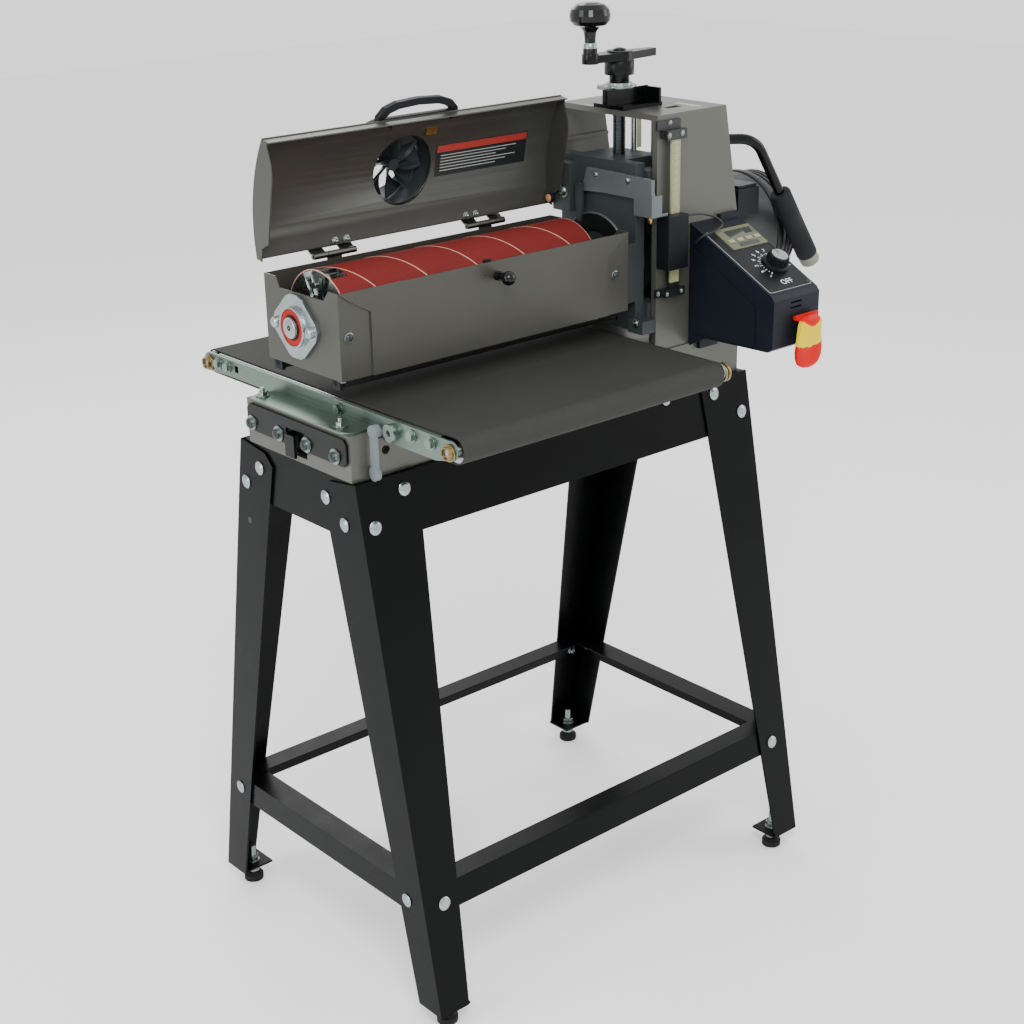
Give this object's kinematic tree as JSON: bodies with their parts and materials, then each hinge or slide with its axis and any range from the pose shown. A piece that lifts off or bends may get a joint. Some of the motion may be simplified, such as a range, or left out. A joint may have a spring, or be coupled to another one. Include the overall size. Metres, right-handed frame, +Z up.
{
  "type": "drum sander",
  "caption": "Open-end drum sander: a motor-driven abrasive drum on a crank-raised head over a conveyor belt, with a hinged dust cover, control box and open steel stand.",
  "frame": {"origin": "centre of the stand's four feet, on the floor", "axes": "+Z up; +X along the drum from the open outboard end to the motor; -Y is the infeed side"},
  "size_m": [0.8483, 0.549, 1.2354],
  "materials": {
    "stand_black": "satin",
    "rubber_black": "matte",
    "zinc": "bright zinc",
    "casting_grey": "semi-gloss",
    "black_metal": "satin",
    "bed_steel": "ground",
    "belt_cloth": "abrasive cloth",
    "bronze": "plain",
    "sheet_grey": "semi-gloss",
    "head_grey": "painted",
    "screw_steel": "oiled",
    "knob_black": "gloss",
    "drum_alu": "extruded",
    "abrasive_red": "abrasive cloth",
    "port_plastic": "moulded",
    "motor_grey": "painted die casting",
    "box_black": "moulded",
    "grip_rubber": "ribbed",
    "scale_steel": "etched",
    "bezel_olive": "moulded",
    "button_cream": "moulded",
    "paddle_red": "moulded",
    "start_green": "moulded",
    "lead_black": "matte"
  },
  "bodies": {
    "frame": {"legs": "stand_black", "long_rails": "stand_black", "short_rails": "stand_black", "long_stretchers": "stand_black", "short_stretchers": "stand_black", "foot_pads": "rubber_black", "foot_studs": "zinc", "stand_bolts": "zinc", "base_casting": "casting_grey", "end_plate": "black_metal", "conveyor_bed": "bed_steel", "side_plate_outboard": "zinc", "side_plate_inboard": "zinc", "conveyor_belt": "belt_cloth", "roller_bushes": "bronze", "conveyor_fasteners": "zinc", "gearmotor": "black_metal", "column": "casting_grey", "guide_rods": "bed_steel", "lock_plate": "black_metal", "scale_strip": "scale_steel", "control_box": "box_black", "panel_bezel": "bezel_olive", "readout_lead": "lead_black", "tube_handle": "black_metal", "handle_grip": "grip_rubber"},
    "drive": {"drive_roller": "bed_steel"},
    "idler": {"idler_roller": "bed_steel"},
    "tracker": {"tracker_lever": "zinc"},
    "crank": {"crank_arm": "black_metal", "height_screw": "screw_steel"},
    "knob": {"crank_knob": "knob_black"},
    "lock": {"lock_lever": "zinc"},
    "head": {"carriage": "head_grey", "reader_link": "sheet_grey", "flange_bearing": "zinc", "trough": "sheet_grey", "hinge_fixed": "zinc", "motor": "motor_grey", "capacitor_box": "box_black", "reader_head": "box_black"},
    "drum": {"drum_core": "drum_alu", "abrasive_wrap": "abrasive_red", "wrap_clip": "zinc"},
    "cover": {"dust_cover": "sheet_grey", "cover_handle": "knob_black", "dust_port": "port_plastic", "hinge_moving": "zinc"},
    "latch": {"cover_latch": "knob_black"},
    "front_float": {"front_carrier": "black_metal"},
    "front_press": {"front_roller": "rubber_black"},
    "rear_float": {"rear_carrier": "black_metal"},
    "rear_press": {"rear_roller": "rubber_black"},
    "speed": {"speed_knob": "knob_black"},
    "panel_button_1": {"panel_button_1": "button_cream"},
    "panel_button_2": {"panel_button_2": "button_cream"},
    "panel_button_3": {"panel_button_3": "button_cream"},
    "panel_button_4": {"panel_button_4": "button_cream"},
    "stop_paddle": {"stop_paddle": "paddle_red"},
    "start_button": {"start_button": "start_green"}
  },
  "joints": [
    {"name": "drive_roller_spin", "type": "hinge", "parent": "frame", "child": "drive", "pos_m": [0, 0.245, 0.789], "axis": [1, 0, 0], "continuous": true},
    {"name": "idler_roller_spin", "type": "hinge", "parent": "frame", "child": "idler", "pos_m": [0, -0.263, 0.789], "axis": [1, 0, 0], "continuous": true},
    {"name": "tracker_turn", "type": "hinge", "parent": "frame", "child": "tracker", "pos_m": [-0.313, -0.127, 0.783], "axis": [1, 0, 0], "range_deg": [-55, 0]},
    {"name": "crank_turn", "type": "hinge", "parent": "frame", "child": "crank", "pos_m": [0.192, -0.021, 1.05], "axis": [0, 0, 1], "range_deg": [-5670, 11339]},
    {"name": "crank_knob_spin", "type": "hinge", "parent": "crank", "child": "knob", "pos_m": [0.139, -0.021, 1.2], "axis": [0, 0, 1], "continuous": true},
    {"name": "height_lock_turn", "type": "hinge", "parent": "frame", "child": "lock", "pos_m": [0.192, -0.021, 1.124], "axis": [0, 0, 1], "range_deg": [-40, 40]},
    {"name": "head_lift", "type": "slide", "parent": "frame", "child": "head", "axis": [0, 0, 1], "range_m": [-0.025, 0.05]},
    {"name": "drum_spin", "type": "hinge", "parent": "head", "child": "drum", "pos_m": [0, -0.021, 0.8964], "axis": [1, 0, 0], "continuous": true},
    {"name": "cover_hinge", "type": "hinge", "parent": "head", "child": "cover", "pos_m": [0, 0.047, 0.957], "axis": [1, 0, 0], "range_deg": [-20, 78.6]},
    {"name": "latch_pull", "type": "slide", "parent": "head", "child": "latch", "axis": [0, -1, 0], "range_m": [0, 0.0048], "stiffness_N_per_m": 300, "springref_m": -0.004},
    {"name": "front_roller_float", "type": "slide", "parent": "head", "child": "front_float", "axis": [0, 0, 1], "range_m": [0, 0.004], "stiffness_N_per_m": 9000, "springref_m": -0.004},
    {"name": "front_roller_spin", "type": "hinge", "parent": "front_float", "child": "front_press", "pos_m": [0, -0.088, 0.8402], "axis": [1, 0, 0], "continuous": true},
    {"name": "rear_roller_float", "type": "slide", "parent": "head", "child": "rear_float", "axis": [0, 0, 1], "range_m": [0, 0.004], "stiffness_N_per_m": 9000, "springref_m": -0.004},
    {"name": "rear_roller_spin", "type": "hinge", "parent": "rear_float", "child": "rear_press", "pos_m": [0, 0.033, 0.8402], "axis": [1, 0, 0], "continuous": true},
    {"name": "speed_turn", "type": "hinge", "parent": "frame", "child": "speed", "pos_m": [0.294, -0.2145, 0.89529], "axis": [0, -0.4543, 0.8908], "range_deg": [0, 280]},
    {"name": "panel_button_1_press", "type": "slide", "parent": "frame", "child": "panel_button_1", "axis": [0, 0.4543, -0.8908], "range_m": [0, 0.0012], "stiffness_N_per_m": 800, "springref_m": -0.0005},
    {"name": "panel_button_2_press", "type": "slide", "parent": "frame", "child": "panel_button_2", "axis": [0, 0.4543, -0.8908], "range_m": [0, 0.0012], "stiffness_N_per_m": 800, "springref_m": -0.0005},
    {"name": "panel_button_3_press", "type": "slide", "parent": "frame", "child": "panel_button_3", "axis": [0, 0.4543, -0.8908], "range_m": [0, 0.0012], "stiffness_N_per_m": 800, "springref_m": -0.0005},
    {"name": "panel_button_4_press", "type": "slide", "parent": "frame", "child": "panel_button_4", "axis": [0, 0.4543, -0.8908], "range_m": [0, 0.0012], "stiffness_N_per_m": 800, "springref_m": -0.0005},
    {"name": "stop_paddle_flip", "type": "hinge", "parent": "frame", "child": "stop_paddle", "pos_m": [0.292, -0.273, 0.838], "axis": [1, 0, 0], "range_deg": [-70, 3]},
    {"name": "start_press", "type": "slide", "parent": "frame", "child": "start_button", "axis": [0, 1, 0], "range_m": [0, 0.002], "stiffness_N_per_m": 900, "springref_m": -0.001}
  ],
  "couplings": [
    {"joint": "crank_turn", "follows": "head_lift", "rad_per_m": 3957.9},
    {"joint": "idler_roller_spin", "follows": "drive_roller_spin", "ratio": 1}
  ]
}
